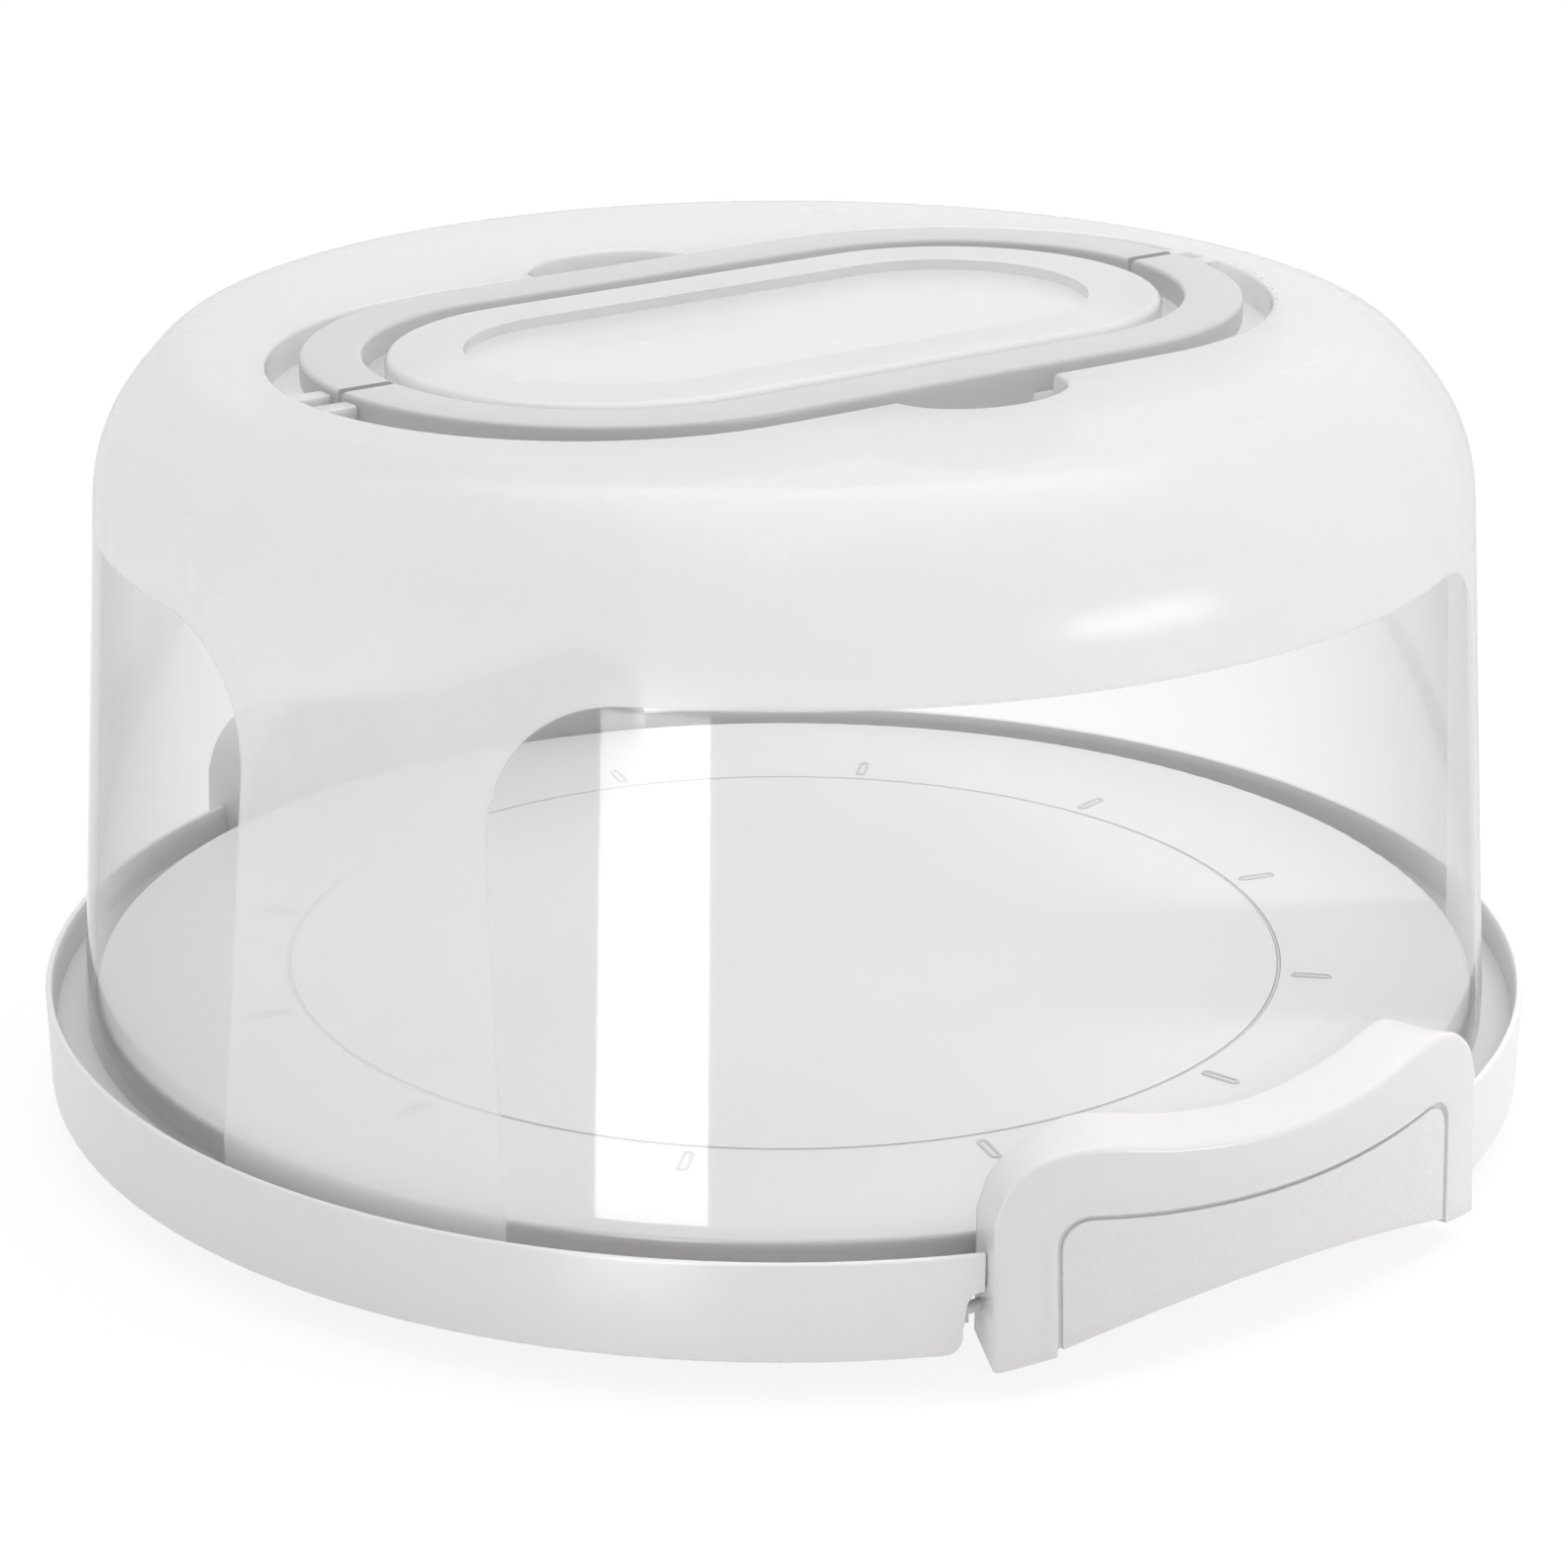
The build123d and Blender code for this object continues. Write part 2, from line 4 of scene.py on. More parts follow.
import bmesh
import bpy
import numpy as np
from bpy.props import FloatProperty, FloatVectorProperty, IntProperty, PointerProperty
from bpy.types import Operator, Panel, PropertyGroup
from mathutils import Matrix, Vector


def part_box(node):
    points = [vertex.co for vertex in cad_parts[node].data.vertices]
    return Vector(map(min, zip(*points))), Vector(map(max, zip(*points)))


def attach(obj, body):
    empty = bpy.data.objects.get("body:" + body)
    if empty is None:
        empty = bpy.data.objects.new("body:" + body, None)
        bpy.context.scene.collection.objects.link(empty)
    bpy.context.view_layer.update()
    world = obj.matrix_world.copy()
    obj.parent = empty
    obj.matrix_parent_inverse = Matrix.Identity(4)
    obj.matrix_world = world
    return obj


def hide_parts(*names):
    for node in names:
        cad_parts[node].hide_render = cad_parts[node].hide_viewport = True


bl_info = {
    "name": "Round cake carrier",
    "version": (1, 0, 0),
    "blender": (4, 5, 0),
    "location": "3D View > Sidebar > Carrier",
    "description": "Builds a cake carrier around its fixed frame",
    "category": "Object",
}

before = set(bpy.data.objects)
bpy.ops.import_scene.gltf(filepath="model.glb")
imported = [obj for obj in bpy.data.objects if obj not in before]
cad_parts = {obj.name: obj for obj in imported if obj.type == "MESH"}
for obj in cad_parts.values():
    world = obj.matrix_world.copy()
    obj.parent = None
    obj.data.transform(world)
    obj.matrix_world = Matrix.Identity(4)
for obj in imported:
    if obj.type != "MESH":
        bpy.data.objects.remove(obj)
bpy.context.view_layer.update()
MM = 0.001
LIP_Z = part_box("tray")[1][2]
DECK_DROP = 0.6 * MM     # cake deck below the lip
CHANNEL_IN = 146.5 * MM  # cover channel, from the deck's edge
CHANNEL_OUT = 156.3 * MM  # to the inside of the rim
RECESS_R = 112.0 * MM    # the handle's recess lies inside this radius of the cover
RECESS_LOW = 140.0 * MM  # and above this height
INNER_R = 113.0 * MM     # beyond it, faces that look at the axis are the wall's inner side

# Patterns on the plastic, in repeats per metre.
FLOW = 9.0
CLOUD = 42.0
PORES = 2600.0
COVER_CLOUD = 30.0
COVER_PORES = 2200.0
DUST = 60.0
GRAIN_DEEP = 0.06 * MM   # height of the moulded grain
PLASTIC_INDEX = 1.49
CHANNEL_SHADE = 0.76      # painted shade: darker colour at the bottom of the tray's channel
RECESS_SHADE = 0.77       # painted shade: darker colour on the steep sides of the handle's recess

# Camera: turn from the front, place, tilt downwards in radians and lens in millimetres.
CAMERA_TURN = math.radians(35.4)
CAMERA_AWAY = 0.8479
CAMERA_HIGH = 0.3687
CAMERA_TILT = 0.3457
CAMERA_LENS = 97.07

WORLD_LIGHT = 0.59       # strength that lights the object, where 1 is the white background
FLOOR_REACH = 6.0
FLOOR_CORNERS = 64
FADE_NEAR = 0.25         # between these radii the floor turns into the white background
FADE_FAR = 0.5

# Along a latch: degrees from its middle, then heights above the tray's lip
# of the front edge and of the rear edge on the cover's wall.
SADDLE = (
    (0.0, 15.2, 16.9),
    (8.0, 16.8, 18.9),
    (14.5, 19.9, 21.8),
    (18.3, 19.0, 18.2),
    (20.7, 14.3, 12.9),
    (21.75, 8.0, 5.5),
)
FACE_DRAFT = 0.04        # how far the latch's face leans in per height
SIDE_STEPS = 8           # stations down each cheek

# Sizes of the latch and its panel in millimetres.
WALL_R = 149.35          # radius of the latch's rear edge
REAR_FOOT = 2.6          # foot of the rear edge above the foot of the front edge
POCKET_FOOT = 1.8        # foot of the pocket above the latch's foot
POCKET_STEPS = (0.03, 0.12, 0.35, 1.0, 1.8)
PANEL_SHOULDER = 42.0    # half of the panel's dipped stretch
PANEL_RISE = 5.9         # panel's shoulders above the lip
PANEL_DIP = 2.9          # dip at the panel's middle
PANEL_CORNER = 5.1       # drop over the panel's round corners
ARCH_RISE = 9.8          # panel's arched foot above the latch's foot
ARCH_DROP = 6.8          # fall of the arch towards its ends
PANEL_SINK = 0.2         # panel under the latch's face
PLATE_GROW = 1.9         # plate behind the panel, beyond its outline
PLATE_SINK = 1.05        # plate under the latch's face
PLATE_WALL = 1.2
EDGE_BEVEL = 0.3         # rims of the latch and of the panel
PLATE_BEVEL = 0.2


# ---------------- settings ----------------
def colour(name, description, value):
    """Colour setting of a finish."""
    return FloatVectorProperty(
        name=name, description=description, default=value, size=3, subtype="COLOR", min=0, max=1)


def length(name, description, value):
    """Length setting in metres."""
    return FloatProperty(name=name, description=description, default=value, unit="LENGTH", precision=4)


class CarrierColours(PropertyGroup):
    """Colours of the finishes."""

    tray: colour("Tray", "White moulded plastic of the tray", (0.88, 0.868, 0.876))
    latch: colour("Latches", "White moulded plastic of the latches", (0.83, 0.815, 0.823))
    frost: colour("Frosted cover", "Frosted part of the cover", (0.945, 0.943, 0.945))
    clear: colour("Clear windows", "Tint of the clear windows", (0.982, 0.983, 0.984))
    handle: colour("Handle", "Grey moulded plastic of the handle", (0.53, 0.528, 0.527))
    # On the guide circle this grey is painted shade of the deck's groove.
    marks: colour("Marks", "Slice marks and guide circle", (0.68, 0.675, 0.68))
    pins: colour("Pins", "Hinge pins", (0.78, 0.78, 0.77))
    floor: colour("Floor", "Studio floor", (0.93, 0.93, 0.93))


class CarrierSizes(PropertyGroup):
    """Sizes that the pieces are made from."""

    window_half: length("Window half width", "Half of a window along the wall", 121.7 * MM)
    window_top: length("Window top", "Top edge of the windows above the table", 128.0 * MM)
    window_round: length("Window corner", "Radius of the windows' upper corners", 27.5 * MM)
    window_turn: FloatProperty(
        name="Window turn", description="Turn of the first window from the front latch",
        default=math.radians(8.8), subtype="ANGLE")
    latch_wall: length("Latch wall", "Wall of a latch", 2.2 * MM)
    latch_fillet: length("Latch fillet", "Rounding of a latch's front edge", 1.5 * MM)
    face_radius: length("Latch face radius", "Radius of a latch's curved face at its foot", 162.75 * MM)
    foot: length("Latch foot", "Lowest corner of a latch above the table", 5.6 * MM)
    panel_half: length("Panel half width", "Half of a panel's width", 47.6 * MM)
    panel_gap: length("Panel gap", "Gap around a panel", 1.1 * MM)
    panel_deep: length("Panel depth", "Thickness of a panel", 0.8 * MM)
    mark_count: IntProperty(name="Slice marks", description="Number of slice marks", default=12, min=3)
    mark_radius: length("Mark radius", "Middle of a slice mark from the axis", 113.3 * MM)
    mark_long: length("Mark length", "Length of a slice mark", 8.1 * MM)
    mark_wide: length("Mark width", "Width of a slice mark", 1.7 * MM)
    mark_line: length("Mark line", "Thickness of a mark's raised line", 0.38 * MM)
    guide_radius: length("Guide circle", "Radius of the circle in the deck", 106.3 * MM)
    bail_arc: length("Handle arc", "Radius of the handle's bend along its middle", 54.75 * MM)
    bail_straight: length("Handle straight", "Half of the handle's straight stretch", 43.5 * MM)
    bail_band: length("Handle band", "Width of the handle", 12.5 * MM)
    bail_thick: length("Handle thickness", "Thickness of the handle", 6.0 * MM)
    bail_round: length("Handle edge", "Rounding of the handle's edges", 1.0 * MM)
    grip_half: length("Grip half length", "Half of the deeper stretch", 16.5 * MM)
    grip_drop: length("Grip drop", "How much deeper the grip is", 3.0 * MM)
    tail_round: length("Tail rounding", "Radius of the handle's tails about their pins", 4.8 * MM)


class CarrierSettings(PropertyGroup):
    """All settings of the carrier."""

    colours: PointerProperty(type=CarrierColours)
    sizes: PointerProperty(type=CarrierSizes)


def settings():
    """Settings of the open scene."""
    return bpy.context.scene.carrier


# ---------------- node helpers ----------------
class Nodes:
    """Short way to lay nodes into a tree."""

    def __init__(self, tree):
        self.tree = tree
        self.tree.nodes.clear()

    def add(self, kind, inputs=None, **facts):
        """New node with its inputs fed and its properties set."""
        node = self.tree.nodes.new(kind)
        for key, value in facts.items():
            setattr(node, key, value)
        for key, value in (inputs or {}).items():
            self.feed(node.inputs[key], value)
        return node

    def feed(self, socket, value):
        """Link or value into a socket."""
        if isinstance(value, bpy.types.NodeSocket):
            self.tree.links.new(value, socket)
        else:
            socket.default_value = value

    def math(self, operation, *values):
        """Result of a Math node."""
        node = self.add("ShaderNodeMath", operation=operation)
        for socket, value in zip(node.inputs, values):
            self.feed(socket, value)
        return node.outputs[0]

    def hypot(self, x, y):
        """Length of two sides at a right angle."""
        squares = self.math("ADD", self.math("MULTIPLY", x, x), self.math("MULTIPLY", y, y))
        return self.math("SQRT", squares)

    def object_place(self):
        """Place on the object."""
        return self.add("ShaderNodeTexCoord").outputs["Object"]

    def split(self, place):
        """Three coordinates of a place, and its distance from the upright axis."""
        axes = self.add("ShaderNodeSeparateXYZ", {"Vector": place}).outputs
        return axes, self.hypot(axes[0], axes[1])

    def background_rays(self):
        """1 for rays that show the background, 0 for rays that light the object."""
        path = self.add("ShaderNodeLightPath").outputs
        shown = self.math("MAXIMUM", path["Is Camera Ray"], path["Is Glossy Ray"])
        return self.math("MAXIMUM", shown, path["Is Transmission Ray"])

    def mix(self, factor, low, high):
        """Colour between two colours."""
        node = self.add("ShaderNodeMix", data_type="RGBA")
        self.feed(node.inputs[0], factor)
        self.feed(node.inputs[6], low)
        self.feed(node.inputs[7], high)
        return node.outputs[2]

    def mix_shader(self, factor, low, high):
        """Shader between two shaders."""
        node = self.add("ShaderNodeMixShader")
        self.feed(node.inputs[0], factor)
        self.feed(node.inputs[1], low)
        self.feed(node.inputs[2], high)
        return node.outputs[0]

    def noise(self, place, scale, detail):
        """Value of a noise pattern."""
        node = self.add("ShaderNodeTexNoise", {"Vector": place, "Scale": scale, "Detail": detail})
        return node.outputs[0]

    def bump(self, height, strength, distance, normal=None):
        """Normal bent by a pattern."""
        inputs = {"Height": height, "Strength": strength, "Distance": distance}
        if normal is not None:
            inputs["Normal"] = normal
        return self.add("ShaderNodeBump", inputs).outputs[0]

    def thin_fresnel(self, index):
        """Share reflected by a thin wall, the same from either side of a face."""
        behind = self.add("ShaderNodeNewGeometry").outputs["Backfacing"]
        both = self.math("ADD", index, self.math("MULTIPLY", behind, 1.0 / index - index))
        return self.add("ShaderNodeFresnel", {"IOR": both}).outputs[0]

    def spread(self, value, low, high, to_low, to_high):
        """Value carried from one range to another and held at its ends."""
        node = self.add("ShaderNodeMapRange", {
            "Value": value, "From Min": low, "From Max": high, "To Min": to_low, "To Max": to_high})
        return node.outputs[0]


def rgba(rgb):
    """Colour with a full alpha."""
    return (rgb[0], rgb[1], rgb[2], 1.0)


def shade(rgb, factor):
    """Colour with a full alpha, made darker or lighter by a factor."""
    return rgba([min(1.0, c * factor) for c in rgb])


def new_material(name):
    """Empty material and its node helper."""
    material = bpy.data.materials.new(name)
    material.use_nodes = True
    return material, Nodes(material.node_tree)


def finish_material(material, nodes, surface, viewport):
    """Output node and viewport colour."""
    nodes.add("ShaderNodeOutputMaterial", {"Surface": surface})
    material.diffuse_color = rgba(viewport)
    return material


def channel_shade_mask(nodes, place):
    """Mask of painted shade in the tray's channel: how deep a point lies, from 0 at its lip to 1."""
    axes, radius = nodes.split(place)
    inner = nodes.spread(radius, CHANNEL_IN - 0.3 * MM, CHANNEL_IN, 0.0, 1.0)
    outer = nodes.spread(radius, CHANNEL_OUT, CHANNEL_OUT + 0.3 * MM, 1.0, 0.0)
    deep = nodes.spread(axes[2], LIP_Z - 2.6 * MM, LIP_Z - 0.5 * MM, 1.0, 0.0)
    above = nodes.spread(axes[2], LIP_Z - 8.5 * MM, LIP_Z - 7.5 * MM, 0.0, 1.0)
    return nodes.math("MULTIPLY", nodes.math("MULTIPLY", inner, outer), nodes.math("MULTIPLY", deep, above))


def moulded_plastic(name, base, rough, grain, depth=None):
    """Injection-moulded plastic: fine grain, flow shading, rubbed patches, and painted shade where it lies
    deep.
    """
    material, nodes = new_material(name)
    place = nodes.object_place()
    flow = nodes.noise(place, FLOW, 4.0)
    cloud = nodes.noise(place, CLOUD, 5.0)
    pores = nodes.noise(place, PORES, 2.0)
    tint = nodes.mix(nodes.spread(flow, 0.3, 0.7, 0.0, 1.0), shade(base, 0.985), shade(base, 1.012))
    if depth:
        # Painted shade: the colour turns darker towards the bottom of the tray's channel.
        tint = nodes.mix(depth(nodes, place), tint, shade(base, CHANNEL_SHADE))
    roughness = nodes.math("ADD", nodes.spread(cloud, 0.25, 0.75, rough - 0.03, rough + 0.03),
                           nodes.spread(pores, 0.2, 0.8, -0.03, 0.03))
    normal = nodes.bump(cloud, 0.05, 0.0003, nodes.bump(pores, grain, GRAIN_DEEP))
    shader = nodes.add("ShaderNodeBsdfPrincipled", {
        "Base Color": tint, "Roughness": roughness, "Normal": normal,
        "IOR": PLASTIC_INDEX, "Coat Weight": 0.12, "Coat Roughness": 0.12,
        "Subsurface Weight": 0.08, "Subsurface Scale": 0.004, "Subsurface Radius": (1.0, 0.9, 0.85)})
    return finish_material(material, nodes, shader.outputs[0], base)


def window_distance(nodes, axes, radius, sizes):
    """Distance along the wall from the nearest window's edge, less than 0 inside it."""
    turn = nodes.math("ARCTAN2", axes[0], nodes.math("MULTIPLY", axes[1], -1.0))
    turned = nodes.math("ADD", turn, sizes.window_turn)
    third = math.tau / 3
    wrapped = nodes.math("WRAP", turned, third / 2, -third / 2)
    along = nodes.math("MULTIPLY", nodes.math("ABSOLUTE", wrapped), radius)
    across = nodes.math("SUBTRACT", along, sizes.window_half - sizes.window_round)
    above = nodes.math("SUBTRACT", axes[2], sizes.window_top - sizes.window_round)
    outside = nodes.hypot(nodes.math("MAXIMUM", across, 0.0), nodes.math("MAXIMUM", above, 0.0))
    inside = nodes.math("MINIMUM", nodes.math("MAXIMUM", across, above), 0.0)
    return nodes.math("SUBTRACT", nodes.math("ADD", outside, inside), sizes.window_round)


def recess_shade_mask(nodes, axes, radius):
    """Mask of painted shade: 1 on the steep sides of the handle's recess, 0 elsewhere."""
    normal = nodes.add("ShaderNodeNewGeometry").outputs["Normal"]
    lean = nodes.add("ShaderNodeSeparateXYZ", {"Vector": normal}).outputs[2]
    steep = nodes.spread(nodes.math("ABSOLUTE", lean), 0.35, 0.9, 1.0, 0.0)
    recess = nodes.math("MULTIPLY", nodes.spread(radius, RECESS_R, RECESS_R + MM, 1.0, 0.0),
                        nodes.spread(axes[2], RECESS_LOW, RECESS_LOW + MM, 0.0, 1.0))
    return nodes.math("MULTIPLY", steep, recess)


def frosted_plastic(nodes, place, axes, tint, cloud):
    """Satin translucent plastic that is a little clearer towards the cover's foot."""
    grain = nodes.bump(nodes.noise(place, COVER_PORES, 2.0), 0.06, GRAIN_DEEP)
    satin = nodes.add("ShaderNodeBsdfPrincipled", {
        "Base Color": tint, "Roughness": nodes.spread(cloud, 0.3, 0.7, 0.22, 0.28),
        "Normal": grain, "IOR": PLASTIC_INDEX})
    glow = nodes.add("ShaderNodeBsdfTranslucent", {"Color": tint})
    body = nodes.mix_shader(0.66, satin.outputs[0], glow.outputs[0])
    clearer = nodes.spread(axes[2], 28 * MM, 110 * MM, 0.34, 0.14)
    veil = nodes.add("ShaderNodeBsdfTransparent", {"Color": (1.0, 1.0, 1.0, 1.0)})
    veiled = nodes.mix_shader(clearer, body, veil.outputs[0])
    polish = nodes.add("ShaderNodeBsdfGlossy", {
        "Roughness": nodes.spread(cloud, 0.3, 0.7, 0.2, 0.26), "Normal": grain})
    return nodes.mix_shader(nodes.thin_fresnel(1.4), veiled, polish.outputs[0])


def clear_plastic(nodes, clear, cloud):
    """Thin clear wall, tinted more where it is seen edge on."""
    facing = nodes.add("ShaderNodeLayerWeight", {"Blend": 0.25}).outputs["Facing"]
    through = nodes.mix(nodes.math("POWER", facing, 1.5), rgba(clear), shade(clear, 0.38))
    window = nodes.add("ShaderNodeBsdfTransparent", {"Color": through})
    gloss = nodes.add("ShaderNodeBsdfGlossy", {
        "Color": (1.0, 1.0, 1.0, 1.0), "Roughness": 0.06, "Normal": nodes.bump(cloud, 0.06, 0.0006)})
    return nodes.mix_shader(nodes.thin_fresnel(PLASTIC_INDEX), window.outputs[0], gloss.outputs[0])


def cover_plastic(name, frost, clear, sizes):
    """Frosted plastic with three clear windows that are spaced evenly round the wall."""
    material, nodes = new_material(name)
    place = nodes.object_place()
    axes, radius = nodes.split(place)
    distance = window_distance(nodes, axes, radius, sizes)
    frosted = nodes.spread(distance, -0.2 * MM, 0.2 * MM, 0.0, 1.0)
    edge = nodes.spread(nodes.math("ABSOLUTE", distance), 0.2 * MM, 1.1 * MM, 1.0, 0.0)
    cloud = nodes.noise(place, COVER_CLOUD, 4.0)
    tint = nodes.mix(nodes.spread(cloud, 0.3, 0.7, 0.0, 1.0), shade(frost, 0.985), rgba(frost))
    # Painted shade: a faint darker line along the windows' edges, where the frosted layer's edge would
    # show.
    tint = nodes.mix(nodes.math("MULTIPLY", edge, 0.25), tint, shade(frost, 0.8))
    # Painted shade: darker colour on the steep sides of the handle's recess.
    tint = nodes.mix(recess_shade_mask(nodes, axes, radius), tint, shade(frost, RECESS_SHADE))
    frost_shader = frosted_plastic(nodes, place, axes, tint, cloud)
    shader = nodes.mix_shader(frosted, clear_plastic(nodes, clear, cloud), frost_shader)
    return finish_material(material, nodes, shader, frost)


def inner_skin(name, clear):
    """Inner side of the cover's wall: it adds only a gloss, so the wall is tinted once."""
    material, nodes = new_material(name)
    cloud = nodes.noise(nodes.object_place(), COVER_CLOUD, 4.0)
    window = nodes.add("ShaderNodeBsdfTransparent", {"Color": shade(clear, 1.02)})
    gloss = nodes.add("ShaderNodeBsdfGlossy", {
        "Roughness": nodes.spread(cloud, 0.3, 0.7, 0.1, 0.16), "Normal": nodes.bump(cloud, 0.05, 0.0006)})
    weak = nodes.math("MULTIPLY", nodes.thin_fresnel(1.3), 0.5)
    shader = nodes.mix_shader(weak, window.outputs[0], gloss.outputs[0])
    return finish_material(material, nodes, shader, clear)


def studio_floor(name, base):
    """Pale floor that keeps a faint shadow and reads white from every side."""
    material, nodes = new_material(name)
    place = nodes.object_place()
    dust = nodes.noise(place, DUST, 3.0)
    tint = nodes.mix(nodes.spread(dust, 0.3, 0.7, 0.0, 1.0), shade(base, 0.99), rgba(base))
    plain = nodes.add("ShaderNodeBsdfDiffuse", {"Color": tint})
    faint = nodes.add("ShaderNodeBsdfDiffuse", {"Color": shade(base, 0.15)})
    white = nodes.add("ShaderNodeEmission", {"Color": (1, 1, 1, 1), "Strength": 0.88})
    bright = nodes.add("ShaderNodeAddShader")
    nodes.feed(bright.inputs[0], faint.outputs[0])
    nodes.feed(bright.inputs[1], white.outputs[0])
    pure = nodes.add("ShaderNodeEmission", {"Color": (1, 1, 1, 1), "Strength": 1.0})
    away = nodes.split(place)[1]
    fade = nodes.spread(away, FADE_NEAR, FADE_FAR, 0.0, 1.0)
    shown = nodes.mix_shader(fade, bright.outputs[0], pure.outputs[0])
    shader = nodes.mix_shader(nodes.background_rays(), plain.outputs[0], shown)
    return finish_material(material, nodes, shader, base)


# ---------------- mesh helpers ----------------
def mesh_object(name, verts, faces, material, smooth):
    """Object from points and faces, smooth up to an angle."""
    mesh = bpy.data.meshes.new(name)
    mesh.from_pydata([tuple(v) for v in verts], [], faces)
    mesh.validate()
    mesh.materials.append(material)
    thing = bpy.data.objects.new(name, mesh)
    bpy.context.scene.collection.objects.link(thing)
    smooth_shade(mesh, smooth)
    return thing


def smooth_shade(mesh, degrees):
    """Smooth shading with sharp edges beyond an angle."""
    mesh.shade_smooth()
    mesh.set_sharp_from_angle(angle=math.radians(degrees))


def skin(paths):
    """Quads between neighbouring paths of equal length."""
    count = len(paths[0])
    verts = [point for path in paths for point in path]
    faces = []
    for row in range(len(paths) - 1):
        for col in range(count - 1):
            a = row * count + col
            faces.append((a, a + 1, a + 1 + count, a + count))
    return verts, faces


def bake(thing, smooth=40):
    """Object's modifiers made part of its mesh."""
    graph = bpy.context.evaluated_depsgraph_get()
    mesh = bpy.data.meshes.new_from_object(thing.evaluated_get(graph))
    thing.modifiers.clear()
    thing.data = mesh
    smooth_shade(mesh, smooth)
    return thing


def thicken(thing, wall, bevel):
    """Skin given a wall inwards and rounded rims."""
    solid = thing.modifiers.new("wall", "SOLIDIFY")
    solid.thickness = wall
    solid.offset = -1.0
    solid.use_even_offset = True
    solid.use_quality_normals = True
    rims = thing.modifiers.new("rims", "BEVEL")
    rims.width = bevel
    rims.segments = 2
    rims.limit_method = "ANGLE"
    rims.angle_limit = math.radians(55)
    return bake(thing)


def spline(points, steps):
    """Smooth curve through points, with its ends carried straight on."""
    points = np.asarray(points, float)
    first = 2 * points[0] - points[1]
    last = 2 * points[-1] - points[-2]
    knots = np.vstack([first, points, last])
    out = []
    for i in range(1, len(knots) - 2):
        a, b, c, d = knots[i - 1:i + 3]
        for k in range(steps):
            t = k / steps
            out.append(0.5 * (2 * b + (c - a) * t + (2 * a - 5 * b + 4 * c - d) * t ** 2
                              + (3 * b - a - 3 * c + d) * t ** 3))
    out.append(points[-1])
    return np.array(out)


def turned_round(thing, name):
    """The same piece at the rear, turned half a turn about the upright axis."""
    mesh = thing.data.copy()
    mesh.transform(((-1, 0, 0, 0), (0, -1, 0, 0), (0, 0, 1, 0), (0, 0, 0, 1)))
    twin = bpy.data.objects.new(name, mesh)
    bpy.context.scene.collection.objects.link(twin)
    return twin


# ---------------- geometry trees ----------------
class Tree(Nodes):
    """Geometry tree with named inputs that ends in realized instances and a material."""

    KINDS = {"LENGTH": "NodeSocketFloat", "COUNT": "NodeSocketInt", "FINISH": "NodeSocketMaterial"}

    def __init__(self, name, inputs):
        tree = bpy.data.node_groups.new(name, "GeometryNodeTree")
        super().__init__(tree)
        tree.interface.new_socket("Geometry", in_out="OUTPUT", socket_type="NodeSocketGeometry")
        self.values = {}
        self.sockets = {}
        for label, (kind, value) in inputs.items():
            socket = tree.interface.new_socket(label, in_out="INPUT", socket_type=self.KINDS[kind])
            self.sockets[label] = socket.identifier
            self.values[label] = value
        self.given = self.add("NodeGroupInput").outputs

    def combine(self, x=0.0, y=0.0, z=0.0):
        """Vector from its parts."""
        return self.add("ShaderNodeCombineXYZ", {"X": x, "Y": y, "Z": z}).outputs[0]

    def end(self, geometry):
        """Finish the tree with the rule's last two nodes."""
        real = self.add("GeometryNodeRealizeInstances", {"Geometry": geometry}).outputs[0]
        dressed = self.add("GeometryNodeSetMaterial", {"Geometry": real, "Material": self.given["Finish"]})
        self.add("NodeGroupOutput", {"Geometry": dressed.outputs[0]})

    def make(self, name, smooth=35):
        """Plain mesh object from the tree."""
        thing = bpy.data.objects.new(name, bpy.data.meshes.new(name))
        bpy.context.scene.collection.objects.link(thing)
        modifier = thing.modifiers.new("tree", "NODES")
        modifier.node_group = self.tree
        for label, value in self.values.items():
            modifier[self.sockets[label]] = value
        bake(thing, smooth)
        form = bmesh.new()
        form.from_mesh(thing.data)
        if form.calc_volume(signed=True) < 0:
            bmesh.ops.reverse_faces(form, faces=form.faces)
            form.to_mesh(thing.data)
        form.free()
        return thing


def marks_tree(sizes, finish, deck):
    """Raised slot outlines, spaced evenly round the deck."""
    tree = Tree("slice marks", {
        "Count": ("COUNT", sizes.mark_count), "Ring": ("LENGTH", sizes.mark_radius),
        "Length": ("LENGTH", sizes.mark_long), "Width": ("LENGTH", sizes.mark_wide),
        "Line": ("LENGTH", sizes.mark_line), "Height": ("LENGTH", deck), "Finish": ("FINISH", finish)})
    given = tree.given
    outline = tree.add("GeometryNodeCurvePrimitiveQuadrilateral", {
        "Width": given["Length"], "Height": given["Width"]})
    rounded = tree.add("GeometryNodeFilletCurve", {
        "Curve": outline.outputs[0], "Count": 6, "Radius": tree.math("MULTIPLY", given["Width"], 0.49)},
        mode="POLY")
    line = tree.add("GeometryNodeCurvePrimitiveCircle", {"Resolution": 8, "Radius": given["Line"]})
    mark = tree.add("GeometryNodeCurveToMesh", {
        "Curve": rounded.outputs[0], "Profile Curve": line.outputs[0]})
    ring = tree.add("GeometryNodeMeshCircle", {"Vertices": given["Count"], "Radius": given["Ring"]})
    outward = tree.add("FunctionNodeAlignRotationToVector", {
        "Vector": tree.add("GeometryNodeInputPosition").outputs[0]}, axis="X")
    copies = tree.add("GeometryNodeInstanceOnPoints", {
        "Points": ring.outputs[0], "Instance": mark.outputs[0], "Rotation": outward.outputs[0]})
    half_step = tree.math("DIVIDE", math.pi, given["Count"])
    placed = tree.add("GeometryNodeTransform", {
        "Geometry": copies.outputs[0], "Translation": tree.combine(z=given["Height"]),
        "Rotation": tree.combine(z=half_step)})
    tree.end(placed.outputs[0])
    return tree


